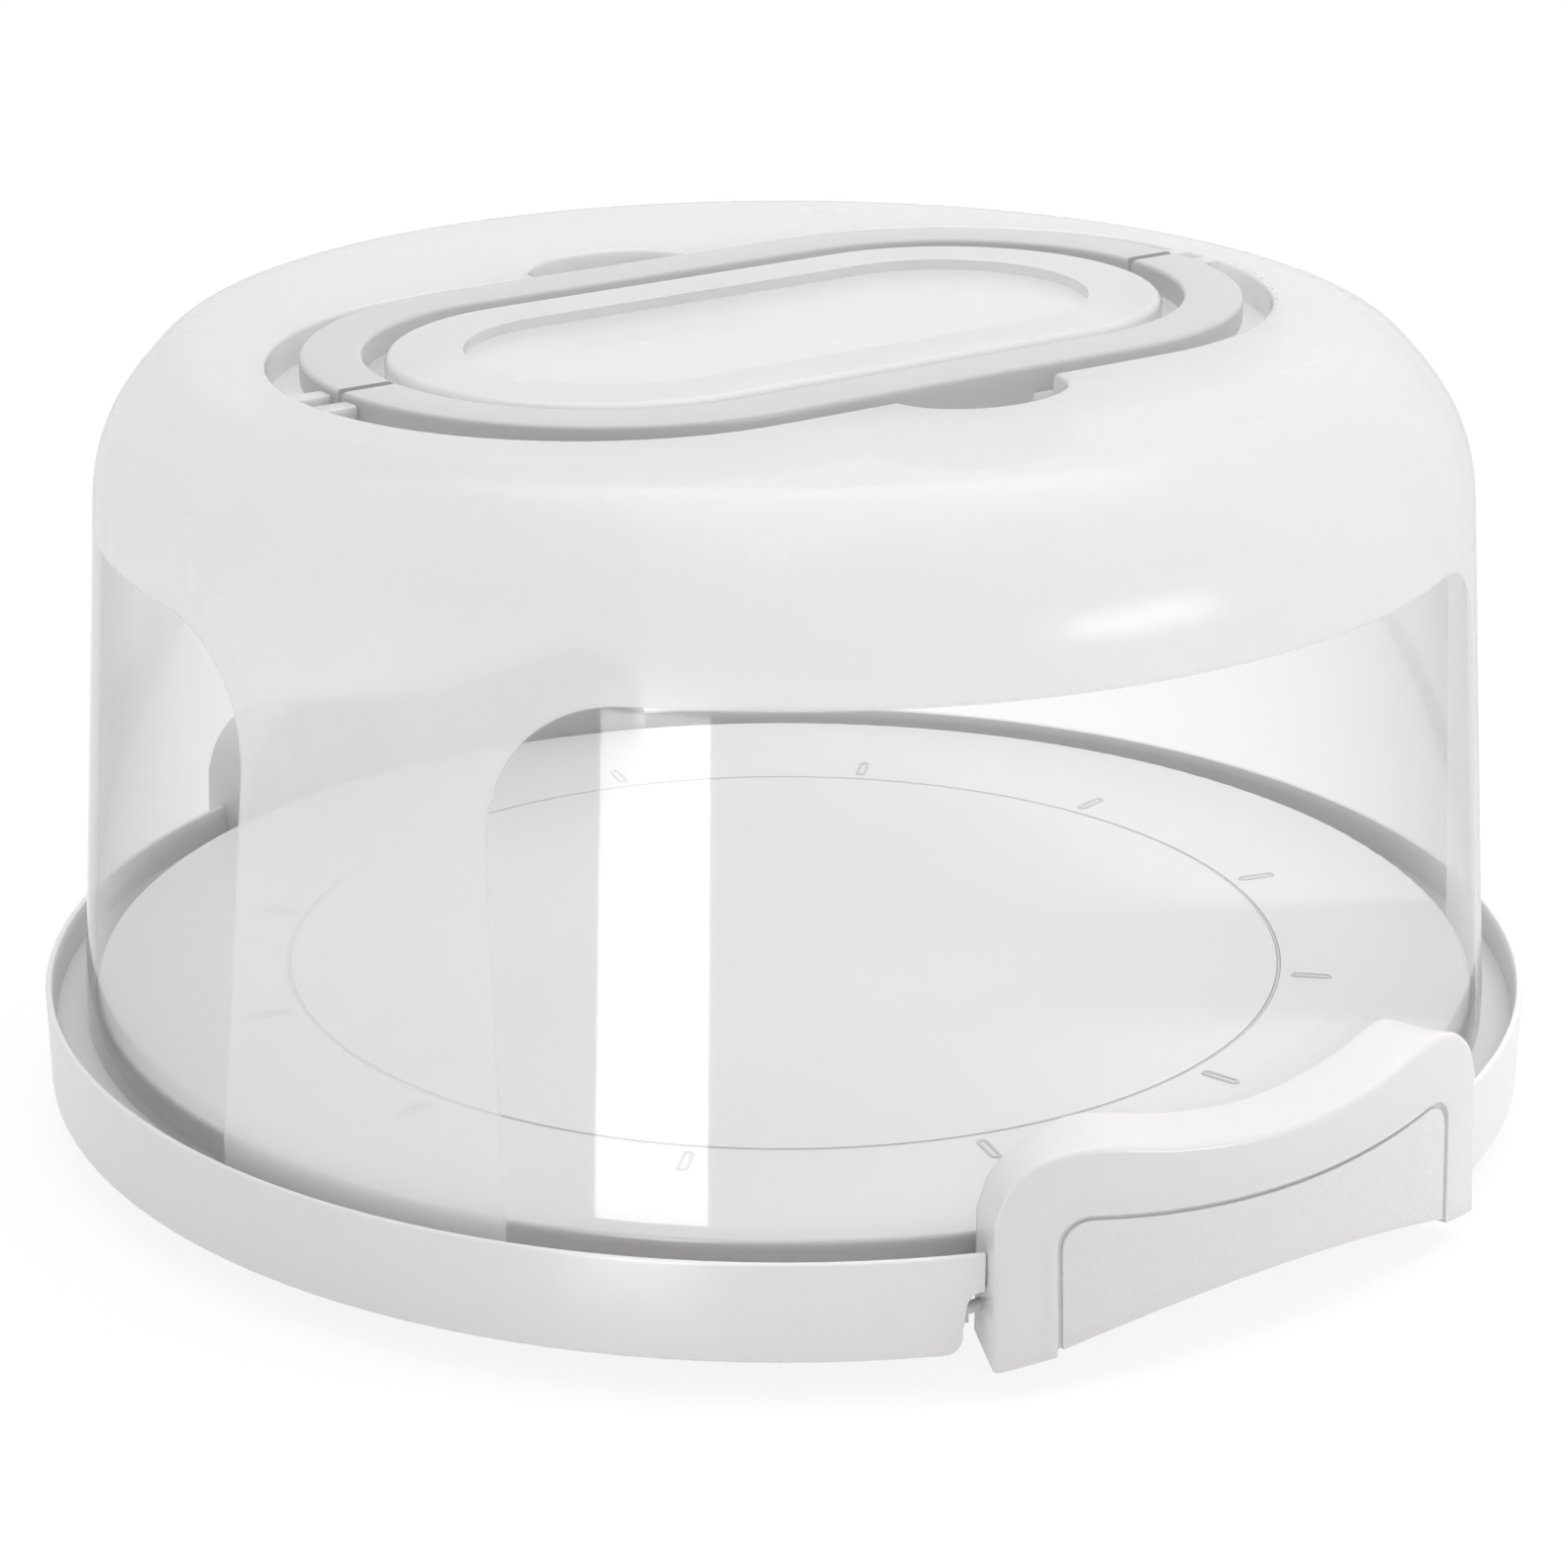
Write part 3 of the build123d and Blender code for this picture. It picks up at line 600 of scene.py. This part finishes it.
def guide_tree(sizes, finish, deck):
    """Thin grey round line that lies in the deck's groove, as painted shade of the groove."""
    tree = Tree("guide circle", {
        "Ring": ("LENGTH", sizes.guide_radius), "Line": ("LENGTH", sizes.mark_line),
        "Height": ("LENGTH", deck), "Finish": ("FINISH", finish)})
    given = tree.given
    path = tree.add("GeometryNodeCurvePrimitiveCircle", {"Resolution": 240, "Radius": given["Ring"]})
    line = tree.add("GeometryNodeCurvePrimitiveCircle", {"Resolution": 8, "Radius": given["Line"]})
    tube = tree.add("GeometryNodeCurveToMesh", {"Curve": path.outputs[0], "Profile Curve": line.outputs[0]})
    low = tree.math("SUBTRACT", given["Height"], tree.math("MULTIPLY", given["Line"], 1.1))
    placed = tree.add("GeometryNodeTransform", {
        "Geometry": tube.outputs[0], "Translation": tree.combine(z=low)})
    tree.end(placed.outputs[0])
    return tree


def bail_tree(sizes, finish, top, gap, pivot):
    """Front half of the handle: a rounded band swept along half a racetrack."""
    tree = Tree("handle half", {
        "Arc": ("LENGTH", sizes.bail_arc), "Straight": ("LENGTH", sizes.bail_straight),
        "Band": ("LENGTH", sizes.bail_band), "Thickness": ("LENGTH", sizes.bail_thick),
        "Edge": ("LENGTH", sizes.bail_round), "Grip": ("LENGTH", sizes.grip_half),
        "Drop": ("LENGTH", sizes.grip_drop), "Tail": ("LENGTH", sizes.tail_round), "Top": ("LENGTH", top),
        "Gap": ("LENGTH", gap), "Pivot": ("LENGTH", -pivot[1]), "Pivot height": ("LENGTH", pivot[2]),
        "Finish": ("FINISH", finish)})
    given = tree.given
    # The gap takes a little off the quarter turn at each end.
    quarter = tree.math("SUBTRACT", math.pi / 2, tree.math("DIVIDE", given["Gap"], given["Arc"]))
    reach = tree.math("ADD", given["Straight"], tree.math("MULTIPLY", given["Arc"], quarter))
    half_count = 120
    line = tree.add("GeometryNodeMeshLine", {"Count": 2 * half_count + 1}, mode="OFFSET")
    index = tree.add("GeometryNodeInputIndex").outputs[0]
    along = tree.math("MULTIPLY", tree.math("SUBTRACT", tree.math("DIVIDE", index, half_count), 1.0), reach)
    away = tree.math("ABSOLUTE", along)
    bend = tree.math("MAXIMUM", tree.math("SUBTRACT", away, given["Straight"]), 0.0)
    turn = tree.math("DIVIDE", bend, given["Arc"])
    x = tree.math("ADD", tree.math("MINIMUM", away, given["Straight"]),
                  tree.math("MULTIPLY", given["Arc"], tree.math("SINE", turn)))
    x = tree.math("MULTIPLY", x, tree.math("SIGN", along))
    y = tree.math("MULTIPLY", tree.math("MULTIPLY", given["Arc"], tree.math("COSINE", turn)), -1.0)
    middle = tree.math("SUBTRACT", given["Top"], tree.math("DIVIDE", given["Thickness"], 2.0))
    laid = tree.add("GeometryNodeSetPosition", {
        "Geometry": line.outputs[0], "Position": tree.combine(x, y, middle)})
    path = tree.add("GeometryNodeMeshToCurve", {"Mesh": laid.outputs[0]})
    level = tree.add("GeometryNodeSetCurveNormal", {"Curve": path.outputs[0]}, mode="Z_UP")
    section = tree.add("GeometryNodeCurvePrimitiveQuadrilateral", {
        "Width": given["Band"], "Height": given["Thickness"]})
    eased = tree.add("GeometryNodeFilletCurve", {
        "Curve": section.outputs[0], "Count": 4, "Radius": given["Edge"]}, mode="POLY")
    band = tree.add("GeometryNodeCurveToMesh", {
        "Curve": level.outputs[0], "Profile Curve": eased.outputs[0], "Fill Caps": True})

    # The grip hangs deeper, and the tails are round about the pivot.
    position = tree.add("GeometryNodeInputPosition").outputs[0]
    spot = tree.add("ShaderNodeSeparateXYZ", {"Vector": position}).outputs
    under = tree.math("LESS_THAN", spot[2], middle)
    in_grip = tree.math("LESS_THAN", tree.math("ABSOLUTE", spot[0]), given["Grip"])
    drop = tree.math("MULTIPLY", tree.math("MULTIPLY", under, in_grip), given["Drop"])
    deeper = tree.math("SUBTRACT", spot[2], drop)
    height = tree.math("SUBTRACT", deeper, given["Pivot height"])
    room = tree.math("SUBTRACT", tree.math("POWER", given["Tail"], 2.0), tree.math("POWER", height, 2.0))
    nose = tree.math("SQRT", tree.math("MAXIMUM", room, 0.0))
    limit = tree.math("SUBTRACT", nose, given["Pivot"])
    near = tree.math("MINIMUM", spot[1], limit)
    tail_zone = tree.math("GREATER_THAN", spot[1], tree.math("MULTIPLY", given["Pivot"], -1.0))
    shift = tree.math("MULTIPLY", tail_zone, tree.math("SUBTRACT", near, spot[1]))
    final = tree.combine(spot[0], tree.math("ADD", spot[1], shift), deeper)
    shaped = tree.add("GeometryNodeSetPosition", {"Geometry": band.outputs[0], "Position": final})
    tree.end(shaped.outputs[0])
    return tree


# ---------------- latch ----------------
def face_r(z):
    """Radius of the latch's face in millimetres at a height."""
    sizes = settings().sizes
    return sizes.face_radius / MM - FACE_DRAFT * (z - sizes.foot / MM)


def on_face(x, z, deep=0.0):
    """Point on the latch's face, or under it."""
    r = face_r(z)
    angle = math.asin(max(-1.0, min(1.0, x / r)))
    return np.array((math.sin(angle) * (r - deep), -math.cos(angle) * (r - deep), z)) * MM


def crown_rows():
    """Stations from one foot corner over the saddle to the other: angle, front and rear height."""
    half = [(a, f + LIP_Z / MM, r + LIP_Z / MM) for a, f, r in SADDLE]
    rows = [(-a, f, r) for a, f, r in reversed(half)] + half[1:]
    curve = spline(rows, 6)
    side = []
    end = curve[-1]
    foot = settings().sizes.foot / MM
    for k in range(1, SIDE_STEPS + 1):
        t = k / SIDE_STEPS
        side.append((end[0], end[1] + (foot - end[1]) * t, end[2] + (foot + REAR_FOOT - end[2]) * t))
    side = np.array(side)
    left = side[::-1] * (-1, 1, 1)
    return np.vstack([left, curve, side])


def panel_top(x, grow):
    """Height of the panel's dipped top edge, with round corners."""
    sizes = settings().sizes
    half = sizes.panel_half / MM + grow
    shoulder = PANEL_SHOULDER + grow / 2
    top = LIP_Z / MM + PANEL_RISE + grow
    dip = PANEL_DIP * (1 - min(1.0, (x / shoulder) ** 2))
    if abs(x) <= shoulder:
        return top - dip
    t = (abs(x) - shoulder) / (half - shoulder)
    return top - PANEL_CORNER * (1 - math.sqrt(max(0.0, 1 - t ** 2.2)))


def panel_arch(x):
    """Height of the panel's arched foot."""
    sizes = settings().sizes
    half = sizes.panel_half / MM
    foot = sizes.foot / MM
    return foot + ARCH_RISE - ARCH_DROP * (x / half) ** 2


def pocket_rows(count):
    """Pocket outline with as many stations as the crown: up a side, over the top and down."""
    sizes = settings().sizes
    grow = sizes.panel_gap / MM
    half = sizes.panel_half / MM + grow
    foot = sizes.foot / MM + POCKET_FOOT
    side_top = panel_top(half, grow)
    rows = []
    for k in range(count):
        step = k - (count - 1) / 2
        sign = -1 if step < 0 else 1
        step = abs(step)
        top_steps = (count - 1) / 2 - SIDE_STEPS
        if step <= top_steps:
            t = step / top_steps
            x = half * math.sin(t * math.pi / 2) ** 0.93
            rows.append((sign * x, panel_top(x, grow)))
        else:
            t = (step - top_steps) / SIDE_STEPS
            rows.append((sign * half, side_top + (foot - side_top) * t))
    return rows


def latch_shell(name, material):
    """Latch's frame: saddle, cheeks and the face around the panel, as one skin with a wall."""
    sizes = settings().sizes
    rows = crown_rows()
    pocket = pocket_rows(len(rows))
    fillet = sizes.latch_fillet
    rear, front = [], []
    for a, zf, zr in rows:
        angle = math.radians(a)
        rear.append(np.array((math.sin(angle) * WALL_R, -math.cos(angle) * WALL_R, zr)) * MM)
        r = face_r(zf)
        front.append(np.array((math.sin(angle) * r, -math.cos(angle) * r, zf)) * MM)
    rear = np.array(rear)
    front = np.array(front)
    inner = np.array([on_face(x, z) for x, z in pocket])
    back = rear - front
    back = back / np.linalg.norm(back, axis=1, keepdims=True)
    inward = inner - front
    inward = inward / np.linalg.norm(inward, axis=1, keepdims=True)
    paths = [rear]
    for t in (0.12, 0.3, 0.5, 0.7, 0.85):
        paths.append(rear + (front + back * fillet - rear) * t)
    start = front + back * fillet
    end = front + inward * fillet
    for k in range(7):
        t = k / 6
        paths.append(start * (1 - t) ** 2 + front * 2 * t * (1 - t) + end * t ** 2)
    for t in (0.2, 0.4, 0.6, 0.8, 0.96):
        flat = []
        for (x, z), f in zip(pocket, end):
            fx, fz = f[0] / MM, f[2] / MM
            flat.append(on_face(fx + (x - fx) * t, fz + (z - fz) * t))
        paths.append(np.array(flat))
    for deep in POCKET_STEPS:
        paths.append(np.array([on_face(x, z, deep) for x, z in pocket]))
    verts, faces = skin(paths)
    shell = mesh_object(name, verts, [f[::-1] for f in faces], material, 35)
    return thicken(shell, sizes.latch_wall, EDGE_BEVEL * MM)


def panel_grid(grow, deep):
    """Grid over a panel's outline at a depth under the face."""
    columns = 72
    rows = 10
    half = settings().sizes.panel_half / MM + grow
    paths = []
    for k in range(rows + 1):
        t = k / rows
        path = []
        for c in range(columns + 1):
            x = half * math.sin((c / columns - 0.5) * math.pi)
            low = panel_arch(x)
            path.append(on_face(x, low + (panel_top(x, grow) - low) * t, deep))
        paths.append(path)
    return skin(paths)


def latch_plate(name, material, grow, deep, wall, bevel):
    """Curved plate in a latch's face."""
    verts, faces = panel_grid(grow, deep)
    plate = mesh_object(name, verts, faces, material, 35)
    return thicken(plate, wall, bevel)


# ---------------- scene helpers ----------------
def copy_node(node, name, materials):
    """Merged copy of a frame node's mesh with its own materials."""
    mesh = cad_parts[node].data.copy()
    form = bmesh.new()
    form.from_mesh(mesh)
    bmesh.ops.remove_doubles(form, verts=form.verts, dist=0.002 * MM)
    form.to_mesh(mesh)
    form.free()
    stale = mesh.attributes.get("custom_normal")
    if stale:
        mesh.attributes.remove(stale)
    mesh.materials.clear()
    for material in materials:
        mesh.materials.append(material)
    for face in mesh.polygons:
        face.material_index = 0
    thing = bpy.data.objects.new(name, mesh)
    bpy.context.scene.collection.objects.link(thing)
    smooth_shade(mesh, 32)
    return thing


def looks_inwards(face):
    """Whether a face of the cover looks down, or from its wall to the axis."""
    x, y = face.center.xy
    r = math.hypot(x, y)
    toward = (face.normal.x * x + face.normal.y * y) / max(r, MM)
    return face.normal.z < -0.5 or (r > INNER_R and toward < -0.2)


def dress(node, material):
    """Material on all slots of a frame node."""
    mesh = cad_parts[node].data
    if not mesh.materials:
        mesh.materials.append(material)
    for i in range(len(mesh.materials)):
        mesh.materials[i] = material


def area_light(name, place, aim, size, size_y, power, glossy_only=False):
    """Soft rectangular light aimed at a point."""
    data = bpy.data.lights.new(name, "AREA")
    data.shape = "RECTANGLE"
    data.size = size
    data.size_y = size_y
    data.energy = power
    lamp = bpy.data.objects.new(name, data)
    bpy.context.scene.collection.objects.link(lamp)
    lamp.location = place
    lamp.rotation_euler = (Vector(aim) - Vector(place)).to_track_quat("-Z", "Y").to_euler()
    lamp.visible_camera = False
    if glossy_only:
        lamp.visible_diffuse = False
        lamp.visible_transmission = False
    return lamp


def stage_place(turn, away, height):
    """Place at a turn in degrees from the camera's side, a distance from the axis and a height."""
    azimuth = CAMERA_TURN - math.radians(turn)
    return (-away * math.sin(azimuth), -away * math.cos(azimuth), height)


# ---------------- operators ----------------
class CARRIER_OT_tray(Operator):
    """Build the tray"""

    bl_idname = "carrier.tray"
    bl_label = "Tray"

    def execute(self, context):
        colours = settings().colours
        # The tray's white carries painted shade in its channel.
        white = moulded_plastic("tray white", colours.tray, 0.36, 0.25, depth=channel_shade_mask)
        dress("tray", white)
        return {"FINISHED"}


class CARRIER_OT_marks(Operator):
    """Build the slice marks and the guide circle on the deck"""

    bl_idname = "carrier.marks"
    bl_label = "Deck marks"

    def execute(self, context):
        grey = moulded_plastic("mark grey", settings().colours.marks, 0.4, 0.15)
        sizes = settings().sizes
        deck = LIP_Z - DECK_DROP
        for tree, name in ((marks_tree(sizes, grey, deck), "slice_marks"),
                           (guide_tree(sizes, grey, deck), "guide_circle")):
            piece = tree.make(name)
            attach(piece, "tray")
        return {"FINISHED"}


class CARRIER_OT_cover(Operator):
    """Build the cover with its clear windows"""

    bl_idname = "carrier.cover"
    bl_label = "Cover"

    def execute(self, context):
        colours = settings().colours
        outer = cover_plastic("cover frosted", colours.frost, colours.clear, settings().sizes)
        inner = inner_skin("cover inner skin", colours.clear)
        shell = copy_node("cover", "cover_shell", (outer, inner))
        for face in shell.data.polygons:
            if looks_inwards(face):
                face.material_index = 1
        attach(shell, "cover")
        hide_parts("cover")
        return {"FINISHED"}


class CARRIER_OT_handles(Operator):
    """Build both halves of the handle"""

    bl_idname = "carrier.handles"
    bl_label = "Handle halves"

    def execute(self, context):
        grey = moulded_plastic("handle grey", settings().colours.handle, 0.33, 0.2)
        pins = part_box("handle_pins_front")
        pivot = [(low + high) / 2 for low, high in zip(*pins)]
        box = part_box("handle_front")
        front = bail_tree(settings().sizes, grey, box[1][2], -box[1][1], pivot).make("handle_half_front")
        rear = turned_round(front, "handle_half_rear")
        for piece, side in ((front, "front"), (rear, "rear")):
            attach(piece, "handle_" + side)
            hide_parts("handle_" + side)
        return {"FINISHED"}


class CARRIER_OT_latches(Operator):
    """Build both latches with their panels"""

    bl_idname = "carrier.latches"
    bl_label = "Latches"

    def execute(self, context):
        colours = settings().colours
        white = moulded_plastic("latch white", colours.latch, 0.24, 0.12)
        insert = moulded_plastic("panel white", colours.latch, 0.27, 0.15)
        shell = latch_shell("latch_shell_front", white)
        panel = latch_plate("latch_insert_front", insert, 0.0, PANEL_SINK,
                            settings().sizes.panel_deep, EDGE_BEVEL * MM)
        floor = latch_plate("latch_floor_front", white, PLATE_GROW, PLATE_SINK,
                            PLATE_WALL * MM, PLATE_BEVEL * MM)
        for front, slot in ((shell, "latch_white"), (floor, "latch_white"), (panel, "panel_white")):
            rear = turned_round(front, front.name.replace("front", "rear"))
            for piece, side in ((front, "front"), (rear, "rear")):
                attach(piece, "latch_" + side)
                if "shell" in piece.name:
                    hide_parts("latch_" + side)
                if "insert" in piece.name:
                    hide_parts("latch_panel_" + side)
        return {"FINISHED"}


class CARRIER_OT_pins(Operator):
    """Finish the hinge pins"""

    bl_idname = "carrier.pins"
    bl_label = "Hinge pins"

    def execute(self, context):
        natural = moulded_plastic("pin natural", settings().colours.pins, 0.3, 0.1)
        for node in ("handle_pins_front", "handle_pins_rear", "latch_pins_front", "latch_pins_rear"):
            dress(node, natural)
        return {"FINISHED"}


class CARRIER_OT_stage(Operator):
    """Set the floor, the lights and the camera"""

    bl_idname = "carrier.stage"
    bl_label = "Stage"

    def execute(self, context):
        scene = context.scene
        floor_mesh = bpy.data.meshes.new("studio_floor")
        turns = np.linspace(0, math.tau, FLOOR_CORNERS, endpoint=False)
        ring = [(FLOOR_REACH * math.cos(a), FLOOR_REACH * math.sin(a), 0.0) for a in turns]
        floor_mesh.from_pydata(ring, [], [tuple(range(FLOOR_CORNERS))])
        floor_mesh.materials.append(studio_floor("studio floor", settings().colours.floor))
        floor = bpy.data.objects.new("studio_floor", floor_mesh)
        scene.collection.objects.link(floor)

        world = bpy.data.worlds.new("studio")
        scene.world = world
        world.use_nodes = True
        nodes = Nodes(world.node_tree)
        added = nodes.math("MULTIPLY", nodes.background_rays(), 1.0 - WORLD_LIGHT)
        strength = nodes.math("ADD", added, WORLD_LIGHT)
        light = nodes.add("ShaderNodeBackground", {"Color": (1.0, 0.995, 1.0, 1.0), "Strength": strength})
        nodes.add("ShaderNodeOutputWorld", {"Surface": light.outputs[0]})

        area_light("softbox_top", (0.1, 0.0, 1.25), (0, 0, 0.1), 1.3, 1.3, 7.6)
        side = area_light("softbox_right", (0.62, -0.44, 0.92), (0, 0, 0.12), 0.2, 0.4, 3.2)
        side.visible_glossy = False
        area_light("softbox_low", (0.33, -1.0, 0.25), (0, -0.14, 0.14), 0.42, 0.2, 1.7, True)
        strip = stage_place(-12.6, 0.207, 0.058)
        area_light("strip_front", strip, (0, 0, 0.058), 0.0394, 0.114, 0.09, True)

        camera_data = bpy.data.cameras.new("camera")
        camera_data.lens = CAMERA_LENS
        camera_data.sensor_width = 36.0
        camera_data.clip_start = 0.05
        camera = bpy.data.objects.new("camera", camera_data)
        scene.collection.objects.link(camera)
        camera.location = stage_place(0.0, CAMERA_AWAY, CAMERA_HIGH)
        camera.rotation_euler = (math.pi / 2 - CAMERA_TILT, 0.0, -CAMERA_TURN)
        scene.camera = camera
        scene.view_settings.view_transform = "Standard"
        return {"FINISHED"}


# ---------------- add-on ----------------
class CARRIER_PT_panel(Panel):
    """Buttons for each piece of the carrier"""

    bl_label = "Cake carrier"
    bl_idname = "CARRIER_PT_panel"
    bl_space_type = "VIEW_3D"
    bl_region_type = "UI"
    bl_category = "Carrier"

    def draw(self, context):
        for step in STEPS:
            self.layout.operator(step)
        for group in (context.scene.carrier.colours, context.scene.carrier.sizes):
            for name in group.__annotations__:
                self.layout.prop(group, name)


STEPS = (
    "carrier.tray", "carrier.marks", "carrier.cover", "carrier.handles", "carrier.latches", "carrier.pins",
    "carrier.stage",
)
CLASSES = (
    CarrierColours, CarrierSizes, CarrierSettings, CARRIER_OT_tray, CARRIER_OT_marks, CARRIER_OT_cover,
    CARRIER_OT_handles, CARRIER_OT_latches, CARRIER_OT_pins, CARRIER_OT_stage, CARRIER_PT_panel,
)


def register():
    """Add the carrier's classes and settings."""
    for kind in CLASSES:
        bpy.utils.register_class(kind)
    bpy.types.Scene.carrier = PointerProperty(type=CarrierSettings)


def unregister():
    """Remove the carrier's classes and settings."""
    del bpy.types.Scene.carrier
    for kind in reversed(CLASSES):
        bpy.utils.unregister_class(kind)


def main():
    """Build every piece in order."""
    register()
    for step in STEPS:
        group, name = step.split(".")
        getattr(getattr(bpy.ops, group), name)()


if __name__ == "__main__":
    main()
